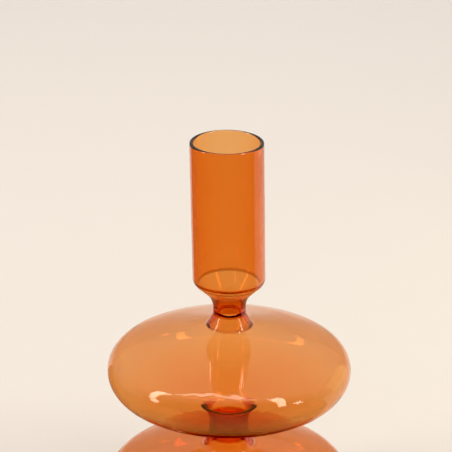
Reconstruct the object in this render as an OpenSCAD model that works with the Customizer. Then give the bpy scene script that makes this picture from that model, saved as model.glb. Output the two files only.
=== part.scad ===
// Bud vase in blown glass: a candle-sized cup on two flattened round discs.
// One glass wall runs all the way down, so the inside is a single hollow.
// Z is up and the origin is the centre of the foot on the table.
// Every piece is a turned outline, written as [radius, height] points.

/* [Overall] */
// Height from the table to the rim
height = 148; // [146:0.5:150]
// Height of the upper disc's widest line
upper_disc_z = 60.8; // [60:0.1:61.5]
// Height of the lower disc's widest line
lower_disc_z = 13.4; // [13:0.1:13.8]

/* [Cup] */
// Outside diameter of the cup
cup_d = 26; // [25:0.5:28]
// Length of the cup's straight wall below the rim
cup_straight = 51.2; // [49:0.1:52]
// Radius of the cup's lower corner
cup_corner_r = 2.9; // [2:0.1:4]
// Fall of the shoulder below the horizontal, in degrees
shoulder_angle = 44; // [40:1:50]
// Glass thickness of the shoulder, thinner than the cup because it is stretched
shoulder_wall = 0.6; // [0.5:0.1:1.2]
// Share of the shoulder over which the cup's thick glass thins out
shoulder_fade = 0.15; // [0.1:0.05:0.5]

/* [Neck and waist] */
// Glass thickness of the cup and the neck
tube_wall = 1.4; // [1.2:0.1:1.5]
// Outside diameter of the neck
neck_d = 11.8; // [11:0.2:13]
// Radius of the hollow curve from the shoulder into the neck
neck_curve_r = 8; // [6:0.5:8.5]
// Height of the weld between the neck and the upper disc
neck_weld_z = 82.8; // [82.5:0.1:84]
// Glass thickness at that weld, where the two pieces ran together in a bead
neck_weld_wall = 2.2; // [1.6:0.1:2.4]
// Outside diameter of the waist at its narrowest
waist_d = 14.2; // [13:0.2:16]
// Glass thickness of the waist, where two collars were pressed together
waist_wall = 2.2; // [1.4:0.1:2.6]
// Length of the waist between its two welds
waist_length = 8; // [7:0.5:9]
// Height of the middle of the waist
waist_z = 37.5; // [37:0.1:38]

/* [Discs] */
// Diameter of the upper disc
upper_disc_d = 88.4; // [86:0.2:90]
// Diameter of the lower disc
lower_disc_d = 91; // [90:0.2:94]
// Full height of the upper disc between its domes
disc_height = 31; // [30:0.5:32]
// Radius of the rounded edge of the upper disc
disc_edge_r = 8; // [7:0.5:9]
// Glass thickness at the edge of the upper disc
edge_wall = 0.7; // [0.6:0.1:1]
// Glass thickness at the crown of the upper disc
crown_wall = 0.9; // [0.8:0.1:1.2]
// Glass thickness at the bottom of the upper disc, where the soft glass gathered
belly_wall = 1.5; // [0.9:0.1:2]
// Glass thickness at the edge of the lower disc
lower_edge_wall = 1; // [0.7:0.1:1.2]
// Glass thickness at the top and bottom of the lower disc
lower_crown_wall = 1.5; // [0.9:0.1:1.8]
// Fall of the upper disc's crown around its collar, in degrees
crown_slope = 17.5; // [14:0.5:19]
// Radius of the hollow curve where the upper disc's collar meets the crown
neck_collar_curve_r = 1.5; // [1:0.5:2.5]
// Radius of the hollow curve where a waist collar grows out of a disc
collar_curve_r = 3; // [2:0.5:3.5]

/* [Base] */
// Diameter of the base where it joins the lower disc
base_d = 54; // [50:1:58]
// Glass thickness in the middle of the base
base_wall = 1.5; // [1.2:0.1:2]
// Rise of the underside in the middle of the base
base_rise = 1; // [0.5:0.1:1.5]
// Width of the flat ring that the vase stands on
foot_width = 2.5; // [1.5:0.5:4]

/* [Hidden] */
$fn = 144;
amber = [0.86, 0.43, 0.11, 0.6];
rim_r = tube_wall / 2;
neck_slope = 60;
waist_slope = 70;
lower_scale = lower_disc_d / upper_disc_d;
waist_curve_r = waist_length / 2 / cos(waist_slope);
// Direction square to the shoulder, pointing out of the glass
shoulder_out = [sin(shoulder_angle), -cos(shoulder_angle)];
cup_corner = [cup_d / 2 - cup_corner_r, height - cup_straight];
neck_curve_x = neck_d / 2 + neck_curve_r;
neck_curve = [
    neck_curve_x,
    cup_corner[1] + ((neck_curve_x - cup_corner[0]) * shoulder_out[0]
        - cup_corner_r - neck_curve_r) / cos(shoulder_angle)
];

// The arc about c from one angle up to, but not including, another
function arc(c, r, from, to, steps = 8) =
    [for (i = [0:steps - 1]) c + r * turn(from + (to - from) * i / steps)];
function turn(angle) = [cos(angle), sin(angle)];
function reversed(points) = [for (i = [len(points) - 1:-1:0]) points[i]];
function upside_down(points) = [for (p = reversed(points)) [p[0], -p[1]]];

// Radius of the dome that meets an edge arc of radius e smoothly, on a disc of half width a
// and half height b
function dome_r(a, b, e) = (pow(a - e, 2) + b * b - e * e) / (2 * (b - e));

// Upper half of a disc about its widest line, from a collar's weld out to the edge. The collar
// falls at its slope, curves onto the dome and the dome runs into the rounded edge.
function half_disc(a, b, e, weld, slope, curve_r) =
    let (
        dome = dome_r(a, b, e),
        dome_c = [0, b - dome],
        along = [cos(slope), -sin(slope)],
        away = [sin(slope), cos(slope)],
        gap = weld + curve_r * away - dome_c,
        run = -gap * along - sqrt(pow(gap * along, 2) - gap * gap + pow(dome + curve_r, 2)),
        curve_c = weld + run * along + curve_r * away,
        touch = atan2(curve_c[1] - dome_c[1], curve_c[0]),
        join = atan2(-dome_c[1], a - e)
    )
    concat(
        [weld],
        arc(curve_c, curve_r, 270 - slope, 180 + touch),
        arc(dome_c, dome, touch, join, 12),
        arc([a - e, 0], e, join, 0)
    );

// Upper half of a disc whose dome straightens into a cone before it reaches the collar
function crowned_half_disc(a, b, e, weld, slope, curve_r, crown_slope) =
    let (
        dome = dome_r(a, b, e),
        touch = [0, b - dome] + dome * [sin(crown_slope), cos(crown_slope)],
        meet_r = (weld[1] - touch[1] + tan(slope) * weld[0] - tan(crown_slope) * touch[0])
            / (tan(slope) - tan(crown_slope)),
        meet = [meet_r, weld[1] - tan(slope) * (meet_r - weld[0])],
        run = curve_r * tan((slope - crown_slope) / 2),
        curve_c = meet + run * [cos(crown_slope), -sin(crown_slope)]
            + curve_r * [sin(crown_slope), cos(crown_slope)],
        join = atan2(dome - b, a - e)
    )
    concat(
        [weld],
        arc(curve_c, curve_r, 270 - slope, 270 - crown_slope),
        [curve_c + curve_r * turn(270 - crown_slope)],
        arc([0, b - dome], dome, 90 - crown_slope, join, 12),
        arc([a - e, 0], e, join, 0)
    );

// Upper half of a disc with no collar, from its dome at radius r out to the edge
function half_disc_from(a, b, e, r) =
    let (
        dome = dome_r(a, b, e),
        join = atan2(dome - b, a - e)
    )
    concat(
        arc([0, b - dome], dome, acos(r / dome), join, 12),
        arc([a - e, 0], e, join, 0)
    );

// The waist's radius at its welds, on the surface that lies depth inside the glass
function waist_weld_r(depth) =
    waist_d / 2 + waist_curve_r - sqrt(pow(waist_curve_r + depth, 2) - pow(waist_length / 2, 2));

// Centre of the hollow curve into the neck, on the surface that lies depth inside the tube's
// glass and thin inside the shoulder's
function neck_curve_at(depth, thin) = neck_curve - [0, (depth - thin) / cos(shoulder_angle)];

// Where the cup's corner ends and the shoulder begins, depth inside the glass
function corner_end(depth) = cup_corner + (cup_corner_r - depth) * shoulder_out;

function cup_side(depth) =
    concat(arc(cup_corner, cup_corner_r - depth, 0, shoulder_angle - 90), [corner_end(depth)]);

// Shoulder and neck down to the weld, where the glass is bead thicker than the tube
function neck_side(depth, thin, bead) =
    let (
        c = neck_curve_at(depth, thin),
        low = c - (neck_curve_r + depth) * shoulder_out,
        r = neck_d / 2 - depth
    )
    concat(
        [corner_end(depth), corner_end(thin) + shoulder_fade * (low - corner_end(thin))],
        arc(c, neck_curve_r + depth, 90 + shoulder_angle, 180),
        [[r, c[1]], [r - bead, neck_weld_z]]
    );

function upper_disc_side(edge, crown, belly, top_wall, bottom_wall) =
    let (
        a = upper_disc_d / 2 - edge,
        b = disc_height / 2,
        e = disc_edge_r - edge,
        top = [neck_d / 2 - top_wall, neck_weld_z - upper_disc_z],
        bottom = [waist_weld_r(bottom_wall), upper_disc_z - waist_z - waist_length / 2],
        waist_curve = collar_curve_r + bottom_wall
    )
    concat(
        crowned_half_disc(
            a, b - crown, e, top, neck_slope, neck_collar_curve_r + top_wall, crown_slope),
        [[a, 0]],
        upside_down(half_disc(a, b - belly, e, bottom, waist_slope, waist_curve))
    );

function waist_side(depth) =
    let (lean = asin(waist_length / 2 / (waist_curve_r + depth)))
    concat(
        arc([waist_d / 2 + waist_curve_r, 0], waist_curve_r + depth, 180 - lean, 180 + lean, 12),
        [[waist_weld_r(depth), -waist_length / 2]]
    );

function lower_disc_side(edge, crown, depth) =
    let (
        a = lower_disc_d / 2 - edge,
        b = lower_scale * disc_height / 2 - crown,
        e = lower_scale * disc_edge_r - edge,
        top = [waist_weld_r(depth), waist_z - waist_length / 2 - lower_disc_z]
    )
    concat(
        half_disc(a, b, e, top, waist_slope, collar_curve_r + depth),
        [[a, 0]],
        upside_down(half_disc_from(a, b, e, base_d / 2))
    );

// Height of the lower disc's underside where the base joins it
function base_seam_z(edge, crown) =
    let (points = lower_disc_side(edge, crown, 0))
    lower_disc_z + points[len(points) - 1][1];

// Underside of the base, from the seam to the axis: a curve down to the flat ring, then a hollow
function underside() =
    let (
        seam_z = base_seam_z(0, 0),
        seam_slope = asin(base_d / 2 / dome_r(
            lower_disc_d / 2, lower_scale * disc_height / 2, lower_scale * disc_edge_r)),
        curve_r = seam_z / (1 - cos(seam_slope)),
        ring_r = base_d / 2 - curve_r * sin(seam_slope),
        hollow_r = ring_r - foot_width,
        cap_r = (pow(hollow_r, 2) + pow(base_rise, 2)) / (2 * base_rise)
    )
    concat(
        arc([ring_r, curve_r], curve_r, seam_slope - 90, -90),
        [[ring_r, 0]],
        arc([0, base_rise - cap_r], cap_r, acos(hollow_r / cap_r), 90),
        [[0, base_rise]]
    );

// Turns the glass between an outer and an inner outline
module turned(outer, inner) {
    color(amber) rotate_extrude() polygon(concat(outer, reversed(inner)));
}

// Straight-walled cup with a fire-polished rim and a rounded lower corner
module cup() {
    rim = arc([cup_d / 2 - rim_r, height - rim_r], rim_r, 180, 0, 12);
    turned(
        concat(rim, [[cup_d / 2, height - rim_r]], cup_side(0)),
        cup_side(tube_wall)
    );
}

// Thin shoulder under the cup, drawn in to a short stem
module neck() {
    turned(
        neck_side(0, 0, 0),
        neck_side(tube_wall, shoulder_wall, neck_weld_wall - tube_wall)
    );
}

// Flattened bubble with a conical crown and a collar above and below
module upper_disc() {
    translate([0, 0, upper_disc_z]) turned(
        upper_disc_side(0, 0, 0, 0, 0),
        upper_disc_side(edge_wall, crown_wall, belly_wall, neck_weld_wall, waist_wall)
    );
}

// Short hollow-sided tube between the discs
module waist() {
    translate([0, 0, waist_z]) turned(waist_side(0), waist_side(waist_wall));
}

// Larger bubble, open below for the base
module lower_disc() {
    translate([0, 0, lower_disc_z]) turned(
        lower_disc_side(0, 0, 0),
        lower_disc_side(lower_edge_wall, lower_crown_wall, waist_wall)
    );
}

// Flattened bottom with a flat ring to stand on
module base() {
    seam_wall = base_seam_z(lower_edge_wall, lower_crown_wall) - base_seam_z(0, 0);
    outside = underside();
    inside = [
        for (p = outside)
            p + [0, base_wall + (seam_wall - base_wall) * p[0] / (base_d / 2)]
    ];
    turned(outside, inside);
}

cup();
neck();
upper_disc();
waist();
lower_disc();
base();
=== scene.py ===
"""Looks of the glass bud vase: clear amber glass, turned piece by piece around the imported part.

Lengths are metres on the part's own axes: Z up, origin in the middle of the foot.
"""
import math

import bpy
from mathutils import Matrix, Quaternion, Vector, noise


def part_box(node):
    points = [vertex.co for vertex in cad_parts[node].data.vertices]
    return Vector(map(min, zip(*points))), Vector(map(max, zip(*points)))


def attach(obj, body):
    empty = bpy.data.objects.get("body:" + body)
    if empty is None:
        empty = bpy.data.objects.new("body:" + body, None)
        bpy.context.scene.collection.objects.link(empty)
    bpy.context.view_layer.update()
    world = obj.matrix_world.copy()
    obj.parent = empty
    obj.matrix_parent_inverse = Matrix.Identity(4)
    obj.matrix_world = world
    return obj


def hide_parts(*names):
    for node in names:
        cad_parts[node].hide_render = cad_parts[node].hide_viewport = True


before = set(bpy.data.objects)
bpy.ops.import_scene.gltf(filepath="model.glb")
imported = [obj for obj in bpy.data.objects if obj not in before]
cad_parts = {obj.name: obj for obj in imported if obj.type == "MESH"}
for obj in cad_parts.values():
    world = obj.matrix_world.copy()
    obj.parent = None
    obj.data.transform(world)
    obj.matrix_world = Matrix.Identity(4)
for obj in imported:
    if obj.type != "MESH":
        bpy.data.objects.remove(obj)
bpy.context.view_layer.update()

# --- Sizes -----------------------------------------------------------------------------------

MM = 0.001

# Glass thickness, from the cup down
TUBE_WALL = 1.4 * MM
SHOULDER_WALL = 0.6 * MM
NECK_WELD_WALL = 2.2 * MM
CROWN_WALL = 0.9 * MM
EDGE_WALL = 0.7 * MM
BELLY_WALL = 1.5 * MM
WAIST_WALL = 2.2 * MM
LOWER_CROWN_WALL = 1.5 * MM
LOWER_EDGE_WALL = 1.0 * MM
BASE_WALL = 1.5 * MM

# Cup and neck
CUP_STRAIGHT = 51.2 * MM
CUP_CORNER_R = 2.9 * MM
# Fall of the shoulder below the horizontal
SHOULDER = math.radians(44)
# Share of the shoulder over which the cup's thick glass thins out
SHOULDER_FADE = 0.15
NECK_R = 5.9 * MM
NECK_CURVE_R = 8 * MM
# Fall of the collar below the neck's weld
NECK_SLOPE = math.radians(60)
NECK_COLLAR_CURVE_R = 1.5 * MM

# Discs and waist
UPPER_Z = 60.8 * MM
LOWER_Z = 13.4 * MM
DISC_HEIGHT = 31 * MM
DISC_EDGE_R = 8 * MM
# Fall of the upper disc's crown around its collar
CROWN_SLOPE = math.radians(17.5)
WAIST_R = 7.1 * MM
# Fall of the waist's collars at its two welds
WAIST_SLOPE = math.radians(70)
COLLAR_CURVE_R = 3 * MM

# Underside
BASE_RISE = 1 * MM
FOOT_WIDTH = 2.5 * MM

# Marks of the hand: sideways lean for each unit of height, and the change in width of a ring
CUP_LEAN = math.tan(math.radians(1.1))
UNEVENNESS = 0.004
LUMPS_PER_METRE = 24
LUMP_SQUASH = 1.6

# Meshes
SEGMENTS = 192
LONGEST_STEP = 1.0 * MM
SEAM_OVERLAP = 0.03 * MM
SHARP_ANGLE = math.radians(35)


def reach(node):
    """Outer radius of a turned node."""
    low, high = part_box(node)
    return (high[0] - low[0]) / 2


def bottom(node):
    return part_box(node)[0][2]


def top(node):
    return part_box(node)[1][2]


CUP_R = reach("cup")
RIM_Z = top("cup")
NECK_WELD_Z = bottom("neck")
UPPER_R = reach("upper_disc")
WAIST_TOP = top("waist")
WAIST_BOTTOM = bottom("waist")
WAIST_HALF = (WAIST_TOP - WAIST_BOTTOM) / 2
WAIST_CURVE_R = WAIST_HALF / math.cos(WAIST_SLOPE)
LOWER_R = reach("lower_disc")
LOWER_SCALE = LOWER_R / UPPER_R
BASE_R = reach("base")

# --- Outlines, as (radius, height) points ------------------------------------------------------


def polar(centre, radius, angle):
    return (centre[0] + radius * math.cos(angle), centre[1] + radius * math.sin(angle))


def arc(centre, radius, start, end, steps):
    """Points from one angle up to, but not including, another."""
    return [polar(centre, radius, start + (end - start) * i / steps) for i in range(steps)]


def dome_radius(a, b, e):
    """Radius of a disc's dome from its half width a, half height b and edge radius e."""
    return ((a - e) ** 2 + b * b - e * e) / (2 * (b - e))


def half_disc(a, b, e, weld, slope, curve_r):
    """Upper half of a disc about its widest line, from a collar's weld out to the edge."""
    dome = dome_radius(a, b, e)
    dome_z = b - dome
    along = (math.cos(slope), -math.sin(slope))
    away = (math.sin(slope), math.cos(slope))
    gap = (weld[0] + curve_r * away[0], weld[1] + curve_r * away[1] - dome_z)
    dot = gap[0] * along[0] + gap[1] * along[1]
    size = gap[0] ** 2 + gap[1] ** 2
    run = -dot - math.sqrt(dot * dot - size + (dome + curve_r) ** 2)
    curve_c = (weld[0] + run * along[0] + curve_r * away[0],
               weld[1] + run * along[1] + curve_r * away[1])
    touch = math.atan2(curve_c[1] - dome_z, curve_c[0])
    join = math.atan2(-dome_z, a - e)
    quarter = math.pi / 2
    return ([weld] + arc(curve_c, curve_r, 3 * quarter - slope, 2 * quarter + touch, 16)
            + arc((0, dome_z), dome, touch, join, 48)
            + arc((a - e, 0), e, join, 0, 24))


def crowned_half_disc(a, b, e, weld, slope, curve_r, crown_slope):
    """Upper half of a disc whose dome straightens into a cone before it reaches the collar."""
    dome = dome_radius(a, b, e)
    touch = (dome * math.sin(crown_slope), b - dome + dome * math.cos(crown_slope))
    down, across = math.tan(slope), math.tan(crown_slope)
    meet_r = (weld[1] - touch[1] + down * weld[0] - across * touch[0]) / (down - across)
    meet = (meet_r, weld[1] - down * (meet_r - weld[0]))
    run = curve_r * math.tan((slope - crown_slope) / 2)
    centre = (meet[0] + run * math.cos(crown_slope) + curve_r * math.sin(crown_slope),
              meet[1] - run * math.sin(crown_slope) + curve_r * math.cos(crown_slope))
    join = math.atan2(dome - b, a - e)
    down_left = 1.5 * math.pi
    return ([weld] + arc(centre, curve_r, down_left - slope, down_left - crown_slope, 16)
            + [polar(centre, curve_r, down_left - crown_slope)]
            + arc((0, b - dome), dome, math.pi / 2 - crown_slope, join, 48)
            + arc((a - e, 0), e, join, 0, 24))


def plain_half_disc(a, b, e, r):
    """Upper half of a disc whose dome starts at radius r, with no collar."""
    dome = dome_radius(a, b, e)
    join = math.atan2(dome - b, a - e)
    return arc((0, b - dome), dome, math.acos(r / dome), join, 24) + arc((a - e, 0), e, join, 0, 24)


def upside_down(points):
    return [(r, -z) for r, z in reversed(points)]


def raised(points, z):
    return [(r, h + z) for r, h in points]


def waist_weld_r(depth):
    """Radius of the waist's two welds, this deep inside the glass."""
    return WAIST_R + WAIST_CURVE_R - math.sqrt((WAIST_CURVE_R + depth) ** 2 - WAIST_HALF ** 2)


SHOULDER_OUT = (math.sin(SHOULDER), -math.cos(SHOULDER))
CUP_CORNER = (CUP_R - CUP_CORNER_R, RIM_Z - CUP_STRAIGHT)
NECK_CURVE = (
    NECK_R + NECK_CURVE_R,
    CUP_CORNER[1] + ((NECK_R + NECK_CURVE_R - CUP_CORNER[0]) * SHOULDER_OUT[0]
                     - CUP_CORNER_R - NECK_CURVE_R) / math.cos(SHOULDER),
)


def neck_curve_at(depth, thin):
    """Centre of the curve into the neck, depth inside the tube and thin inside the shoulder."""
    return (NECK_CURVE[0], NECK_CURVE[1] - (depth - thin) / math.cos(SHOULDER))


def corner_end(depth):
    """Where the cup's corner ends and the shoulder begins."""
    return polar(CUP_CORNER, CUP_CORNER_R - depth, SHOULDER - math.pi / 2)


def cup_side(depth):
    corner = arc(CUP_CORNER, CUP_CORNER_R - depth, 0, SHOULDER - math.pi / 2, 16)
    return corner + [corner_end(depth)]


def neck_side(depth, thin, bead):
    """Shoulder and stem; bead is how far the glass thickens inwards at the weld."""
    centre = neck_curve_at(depth, thin)
    low = polar(centre, -(NECK_CURVE_R + depth), SHOULDER - math.pi / 2)
    thinned = tuple(h + (l - h) * SHOULDER_FADE for h, l in zip(corner_end(thin), low))
    curve = arc(centre, NECK_CURVE_R + depth, math.pi / 2 + SHOULDER, math.pi, 24)
    weld = [(NECK_R - depth, centre[1]), (NECK_R - depth - bead, NECK_WELD_Z)]
    return [corner_end(depth), thinned] + curve + weld


def upper_disc_side(edge, crown, belly, top_wall, bottom_wall):
    """Side of the upper disc, this deep inside its glass at each place."""
    a, b, e = UPPER_R - edge, DISC_HEIGHT / 2, DISC_EDGE_R - edge
    above = (NECK_R - top_wall, NECK_WELD_Z - UPPER_Z)
    below = (waist_weld_r(bottom_wall), UPPER_Z - WAIST_TOP)
    collar_curve = NECK_COLLAR_CURVE_R + top_wall
    waist_curve = COLLAR_CURVE_R + bottom_wall
    points = (crowned_half_disc(a, b - crown, e, above, NECK_SLOPE, collar_curve, CROWN_SLOPE)
              + [(a, 0)]
              + upside_down(half_disc(a, b - belly, e, below, WAIST_SLOPE, waist_curve)))
    return raised(points, UPPER_Z)


def waist_side(depth):
    lean = math.asin(WAIST_HALF / (WAIST_CURVE_R + depth))
    centre = (WAIST_R + WAIST_CURVE_R, (WAIST_TOP + WAIST_BOTTOM) / 2)
    curve = arc(centre, WAIST_CURVE_R + depth, math.pi - lean, math.pi + lean, 24)
    return curve + [(waist_weld_r(depth), WAIST_BOTTOM)]


def lower_sizes(edge, crown):
    """Half width, half height and edge radius of the lower disc, this deep inside its glass."""
    return (LOWER_R - edge, LOWER_SCALE * DISC_HEIGHT / 2 - crown,
            LOWER_SCALE * DISC_EDGE_R - edge)


def lower_disc_side(edge, crown, depth):
    a, b, e = lower_sizes(edge, crown)
    above = (waist_weld_r(depth), WAIST_BOTTOM - LOWER_Z)
    points = (half_disc(a, b, e, above, WAIST_SLOPE, COLLAR_CURVE_R + depth) + [(a, 0)]
              + upside_down(plain_half_disc(a, b, e, BASE_R)))
    return raised(points, LOWER_Z)


def underside():
    """Outside of the base: a curve in to the foot ring and a shallow dome inside the ring."""
    seam_z = lower_disc_side(0, 0, 0)[-1][1]
    slope = math.asin(BASE_R / dome_radius(*lower_sizes(0, 0)))
    curve_r = seam_z / (1 - math.cos(slope))
    ring_r = BASE_R - curve_r * math.sin(slope)
    hollow_r = ring_r - FOOT_WIDTH
    cap_r = (hollow_r ** 2 + BASE_RISE ** 2) / (2 * BASE_RISE)
    return (arc((ring_r, curve_r), curve_r, slope - math.pi / 2, -math.pi / 2, 12) + [(ring_r, 0)]
            + arc((0, BASE_RISE - cap_r), cap_r, math.acos(hollow_r / cap_r), math.pi / 2, 24)
            + [(0, BASE_RISE)])


# --- Turned meshes -----------------------------------------------------------------------------


def lapped(points):
    """Runs the lower end of a wall on into the piece below, so that the weld has no gap."""
    (r0, z0), (r1, z1) = points[-2:]
    step = SEAM_OVERLAP / math.hypot(r1 - r0, z1 - z0)
    return points[:-1] + [(r1 + (r1 - r0) * step, z1 + (z1 - z0) * step)]


def refined(points):
    """Adds rings along the straight runs of a closed outline, closest together at their ends."""
    result = []
    for (r0, z0), (r1, z1) in zip(points, points[1:] + points[:1]):
        steps = max(1, math.ceil(math.hypot(r1 - r0, z1 - z0) / LONGEST_STEP))
        for i in range(steps):
            t = (1 - math.cos(math.pi * i / steps)) / 2
            result.append((r0 + (r1 - r0) * t, z0 + (z1 - z0) * t))
    return result


def handmade(x, y, z):
    """Unevenness of glass shaped by hand: the cup leans and no ring is quite round."""
    swell = 1 + UNEVENNESS * noise.noise(Vector((x, y, LUMP_SQUASH * z)) * LUMPS_PER_METRE)
    return (x * swell - max(0.0, z - NECK_WELD_Z) * CUP_LEAN, y * swell, z)


def turned(name, outline):
    """Closed solid of revolution from a closed outline; points on the axis become poles."""
    verts, faces, rings = [], [], []
    for r, z in refined(outline):
        start = len(verts)
        if r < 1e-9:
            verts.append((0, 0, z))
            rings.append([start] * SEGMENTS)
            continue
        for i in range(SEGMENTS):
            angle = 2 * math.pi * i / SEGMENTS
            verts.append(handmade(r * math.cos(angle), r * math.sin(angle), z))
        rings.append(list(range(start, start + SEGMENTS)))
    for k, ring in enumerate(rings):
        following = rings[(k + 1) % len(rings)]
        for i in range(SEGMENTS):
            j = (i + 1) % SEGMENTS
            corners = [ring[i], following[i], following[j], ring[j]]
            face = list(dict.fromkeys(corners))
            if len(face) > 2:
                faces.append(face)
    mesh = bpy.data.meshes.new(name)
    mesh.from_pydata(verts, [], faces)
    mesh.update()
    mesh.shade_smooth()
    mesh.set_sharp_from_angle(angle=SHARP_ANGLE)
    obj = bpy.data.objects.new(name, mesh)
    bpy.context.collection.objects.link(obj)
    return obj


# --- Materials ---------------------------------------------------------------------------------

# What the glass takes out of red, green and blue light, per millimetre
ABSORBED = (0.06, 0.42, 1.06)
# How much stronger the colour is in the waist: painted shade, darkening the glass between the two
# discs where shade falls
WAIST_PAINTED_SHADE = 2.5


def new_material(name):
    """Material with nodes, its node tree and its shader."""
    mat = bpy.data.materials.new(name)
    mat.use_nodes = True
    return mat, mat.node_tree, mat.node_tree.nodes["Principled BSDF"]


def noise_fac(tree, scale, detail=2.0, distortion=0.0):
    """Noise over the object, scale lumps to the metre."""
    coords = tree.nodes.new("ShaderNodeTexCoord")
    texture = tree.nodes.new("ShaderNodeTexNoise")
    texture.inputs["Scale"].default_value = scale
    texture.inputs["Detail"].default_value = detail
    texture.inputs["Distortion"].default_value = distortion
    tree.links.new(coords.outputs["Object"], texture.inputs["Vector"])
    return texture.outputs["Fac"]


def two_tone(tree, value, low, high):
    """Colour that runs from low to high as the value runs from 0 to 1."""
    ramp = tree.nodes.new("ShaderNodeValToRGB")
    ramp.color_ramp.elements[0].color = (*low, 1)
    ramp.color_ramp.elements[1].color = (*high, 1)
    tree.links.new(value, ramp.inputs["Fac"])
    return ramp.outputs["Color"]


def remapped(tree, value, old, new):
    """The value moved from one (least, most) range to another, and held inside it."""
    node = tree.nodes.new("ShaderNodeMapRange")
    node.inputs["From Min"].default_value, node.inputs["From Max"].default_value = old
    node.inputs["To Min"].default_value, node.inputs["To Max"].default_value = new
    tree.links.new(value, node.inputs["Value"])
    return node.outputs["Result"]


def blown_glass(name, strength):
    """Clear amber glass with streaks in its colour, faint wear and hand-made ripples."""
    mat, tree, bsdf = new_material(name)
    bsdf.inputs["IOR"].default_value = 1.48
    bsdf.inputs["Transmission Weight"].default_value = 1.0

    streaks = noise_fac(tree, 40, detail=3, distortion=1.5)
    tint = two_tone(tree, streaks, (0.98, 0.81, 0.68), (1.0, 0.89, 0.79))
    tree.links.new(tint, bsdf.inputs["Base Color"])
    wear = remapped(tree, streaks, (0.35, 0.75), (0.0, 0.04))
    tree.links.new(wear, bsdf.inputs["Roughness"])

    bump = tree.nodes.new("ShaderNodeBump")
    bump.inputs["Strength"].default_value = 0.25
    bump.inputs["Distance"].default_value = 0.2 * MM
    ripples = noise_fac(tree, 110, detail=1, distortion=0.8)
    tree.links.new(ripples, bump.inputs["Height"])
    tree.links.new(bump.outputs["Normal"], bsdf.inputs["Normal"])

    absorb = tree.nodes.new("ShaderNodeVolumeAbsorption")
    strongest = max(ABSORBED)
    absorb.inputs["Color"].default_value = (*(1 - part / strongest for part in ABSORBED), 1)
    # A strength above 1 deepens the colour as painted shade (used for the waist)
    absorb.inputs["Density"].default_value = strength * strongest / MM
    tree.links.new(absorb.outputs["Volume"], tree.nodes["Material Output"].inputs["Volume"])
    return mat


def paper():
    mat, tree, bsdf = new_material("paper")
    bsdf.inputs["Roughness"].default_value = 0.9
    shade = two_tone(tree, noise_fac(tree, 900), (0.82, 0.78, 0.74), (0.86, 0.82, 0.78))
    tree.links.new(shade, bsdf.inputs["Base Color"])
    return mat


# --- Pieces ------------------------------------------------------------------------------------


def glass_piece(node, outer, inner, strength=1):
    """Piece in place of a CAD node, turned from the outlines of its outside and inside."""
    slot = node + "_glass"
    piece = turned(slot, outer + list(reversed(inner)))
    piece.data.materials.append(blown_glass(slot, strength))
    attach(piece, "root")
    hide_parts(node)


def add_cup():
    rim_r = TUBE_WALL / 2
    rim = arc((CUP_R - rim_r, RIM_Z - rim_r), rim_r, math.pi, 0, 24) + [(CUP_R, RIM_Z - rim_r)]
    glass_piece("cup", lapped(rim + cup_side(0)), lapped(cup_side(TUBE_WALL)))


def add_neck():
    bead = NECK_WELD_WALL - TUBE_WALL
    inner = neck_side(TUBE_WALL, SHOULDER_WALL, bead)
    glass_piece("neck", lapped(neck_side(0, 0, 0)), lapped(inner))


def add_upper_disc():
    inner = upper_disc_side(EDGE_WALL, CROWN_WALL, BELLY_WALL, NECK_WELD_WALL, WAIST_WALL)
    glass_piece("upper_disc", lapped(upper_disc_side(0, 0, 0, 0, 0)), lapped(inner))


def add_waist():
    # The waist's glass is coloured more strongly, as painted shade between the two discs
    glass_piece("waist", lapped(waist_side(0)), lapped(waist_side(WAIST_WALL)), WAIST_PAINTED_SHADE)


def add_lower_disc():
    inner = lower_disc_side(LOWER_EDGE_WALL, LOWER_CROWN_WALL, WAIST_WALL)
    glass_piece("lower_disc", lapped(lower_disc_side(0, 0, 0)), lapped(inner))


def add_base():
    """Base whose wall meets the lower disc's wall in the same thickness."""
    outer = underside()
    disc_inner = lower_disc_side(LOWER_EDGE_WALL, LOWER_CROWN_WALL, 0)
    seam_wall = disc_inner[-1][1] - lower_disc_side(0, 0, 0)[-1][1]
    inner = [(r, z + BASE_WALL + (seam_wall - BASE_WALL) * r / BASE_R) for r, z in outer]
    glass_piece("base", outer, inner)


add_cup()
add_neck()
add_upper_disc()
add_waist()
add_lower_disc()
add_base()

# --- Camera ------------------------------------------------------------------------------------

LENS_MM = 142.885
SENSOR_MM = 36
PITCH = math.radians(22.5)
ROLL = math.radians(0.25)
# From the middle of the rim to the camera
RIM_DISTANCE = 0.6204
RIM_DEPRESSION = math.radians(19.81)
CAMERA_X = -0.0014


def add_camera():
    data = bpy.data.cameras.new("camera")
    data.sensor_width = SENSOR_MM
    data.lens = LENS_MM
    data.clip_start = 0.01
    cam = bpy.data.objects.new("camera", data)
    bpy.context.collection.objects.link(cam)
    cam.matrix_world = (
        Matrix.Translation((CAMERA_X, -RIM_DISTANCE * math.cos(RIM_DEPRESSION),
                            RIM_Z + RIM_DISTANCE * math.sin(RIM_DEPRESSION)))
        @ Matrix.Rotation(math.pi / 2 - PITCH, 4, "X")
        @ Matrix.Rotation(ROLL, 4, "Z")
    )
    bpy.context.scene.camera = cam


add_camera()

# --- Floor, backdrop and light -----------------------------------------------------------------

# What the light panels face
TARGET = Vector((0, 0, 0.06))
PAPER = paper()


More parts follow.
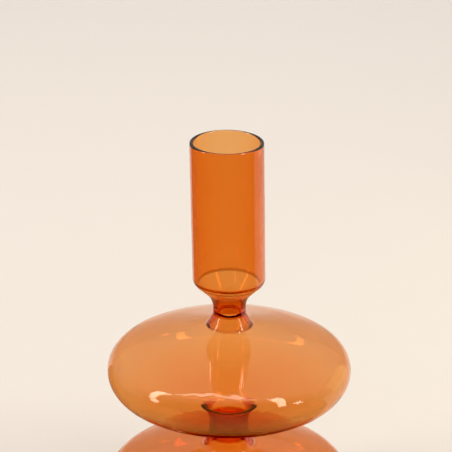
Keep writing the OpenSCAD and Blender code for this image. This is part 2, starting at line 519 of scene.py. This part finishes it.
def add_sweep(name, start, end, reflected):
    """Sector of a round floor that curves up into a low wall; angles in degrees run from +X."""
    floor_r, curve_r, height, steps = 1.0, 0.3, 0.5, 48
    path = [(0.2, 0.0), (0.6, 0.0)]
    path += arc((floor_r, curve_r), curve_r, -math.pi / 2, 0, 16) + [(floor_r + curve_r, height)]
    angles = [math.radians(start + (end - start) * i / steps) for i in range(steps + 1)]
    verts = [(r * math.cos(t), r * math.sin(t), z) for r, z in path for t in angles]
    verts.append((0, 0, 0))
    row = steps + 1
    faces = [(i, i + 1, len(verts) - 1) for i in range(steps)]
    faces += [(k * row + i, k * row + row + i, k * row + row + i + 1, k * row + i + 1)
              for k in range(len(path) - 1) for i in range(steps)]
    mesh = bpy.data.meshes.new(name)
    mesh.from_pydata(verts, [], faces)
    mesh.shade_smooth()
    obj = bpy.data.objects.new(name, mesh)
    obj.data.materials.append(PAPER)
    obj.visible_glossy = reflected
    bpy.context.collection.objects.link(obj)


add_sweep("back_floor", 0, 130, True)
# The floor before the vase stays out of the glass's reflections, as behind a black card
add_sweep("front_floor", 130, 360, False)


def panel(name, place, size, radiance, colour, roll=0, seen=True):
    """Soft light panel at a place measured from the middle of the vase, which it faces.

    roll turns it about its own line of sight, in degrees; seen is whether the glass reflects it.
    """
    data = bpy.data.lights.new(name, "AREA")
    data.shape = "RECTANGLE"
    data.size, data.size_y = size
    data.energy = radiance * math.pi * size[0] * size[1]
    data.color = colour
    lamp = bpy.data.objects.new(name, data)
    lamp.location = TARGET + Vector(place)
    facing = (-Vector(place)).to_track_quat("-Z", "Y")
    lamp.rotation_euler = (facing @ Quaternion((0, 0, 1), math.radians(roll))).to_euler()
    lamp.visible_camera = False
    lamp.visible_glossy = lamp.visible_transmission = seen
    bpy.context.collection.objects.link(lamp)


def product(tree, a, b):
    node = tree.nodes.new("ShaderNodeMath")
    node.operation = "MULTIPLY"
    tree.links.new(a, node.inputs[0])
    tree.links.new(b, node.inputs[1])
    return node.outputs["Value"]


def add_room():
    """Surroundings that are bright behind the vase and dim before it and below it."""
    world = bpy.data.worlds.new("room")
    bpy.context.scene.world = world
    world.use_nodes = True
    tree = world.node_tree
    background = tree.nodes["Background"]
    background.inputs["Color"].default_value = (1.0, 0.92, 0.82, 1)
    coords = tree.nodes.new("ShaderNodeTexCoord")
    parts = tree.nodes.new("ShaderNodeSeparateXYZ")
    tree.links.new(coords.outputs["Generated"], parts.inputs["Vector"])
    wall = remapped(tree, parts.outputs["Y"], (-0.3, 0.2), (0.03, 0.55))
    horizon = remapped(tree, parts.outputs["Z"], (-0.1, 0.1), (0.15, 1.0))
    ceiling = remapped(tree, parts.outputs["Z"], (0.3, 0.8), (1.0, 1.6))
    strength = product(tree, product(tree, wall, horizon), ceiling)
    tree.links.new(strength, background.inputs["Strength"])


DAYLIGHT = (1.0, 0.95, 0.88)


def add_lights():
    panel("overhead", (0, 1.15, 1.4), (1.0, 1.0), 3.6, (1.0, 0.98, 0.98), seen=False)
    panel("strip_back", (-0.08, 0.29, 1.0), (0.62, 0.03), 5.5, (1.0, 0.9, 0.7), roll=-30)
    panel("window_left", (-0.68, 0.05, 0.73), (0.11, 0.75), 8, DAYLIGHT, roll=40)
    panel("window_right", (0.53, -0.19, 0.82), (0.11, 0.85), 8, DAYLIGHT, roll=-36)
    panel("window_left_low", (-0.86, -0.24, 0.45), (0.12, 0.2), 7, DAYLIGHT)
    panel("window_right_low", (0.82, -0.30, 0.48), (0.12, 0.2), 7, DAYLIGHT)
    panel("card", (0.3, 0.16, 0.06), (0.2, 0.2), 0.6, (1.0, 0.9, 0.3))


add_room()
add_lights()


def set_tone():
    """Plain colours, with the deepest shadows pulled down to black."""
    view = bpy.context.scene.view_settings
    view.view_transform = "Standard"
    view.use_curve_mapping = True
    view.curve_mapping.black_level = (0.002, 0.006, 0.003)
    view.curve_mapping.update()


def set_bounces():
    """Enough bounces for light to get through every wall of the vase."""
    cycles = bpy.context.scene.cycles
    cycles.max_bounces = 32
    cycles.transmission_bounces = 32
    cycles.glossy_bounces = 16


set_tone()
set_bounces()
